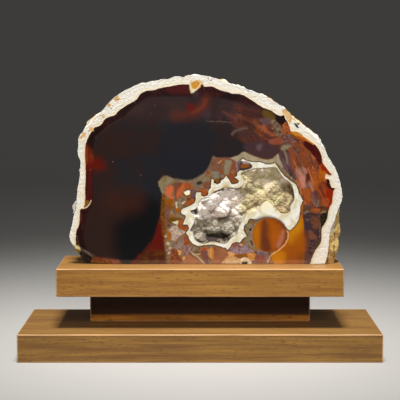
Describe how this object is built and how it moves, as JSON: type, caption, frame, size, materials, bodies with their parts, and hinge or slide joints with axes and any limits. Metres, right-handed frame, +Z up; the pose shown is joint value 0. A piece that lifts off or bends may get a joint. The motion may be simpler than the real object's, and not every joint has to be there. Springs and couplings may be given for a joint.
{
  "type": "agate geode",
  "caption": "Half agate nodule with a polished face and a crystal-lined hollow, resting face forward on a stepped wooden stand.",
  "frame": {"origin": "middle of the base board's underside", "axes": "+Z up, +X along the stand's length to the right of someone facing the polished face, which looks along -Y"},
  "size_m": [0.255, 0.102, 0.1994],
  "materials": {
    "agate": "polished",
    "quartz_crystals": "gloss",
    "top_wood": "satin",
    "neck_wood": "satin",
    "base_wood": "satin"
  },
  "bodies": {
    "root": {"agate_geode": "agate", "crystal_crust": "quartz_crystals", "top_plank": "top_wood", "neck_block": "neck_wood", "base_plank": "base_wood"}
  },
  "joints": []
}
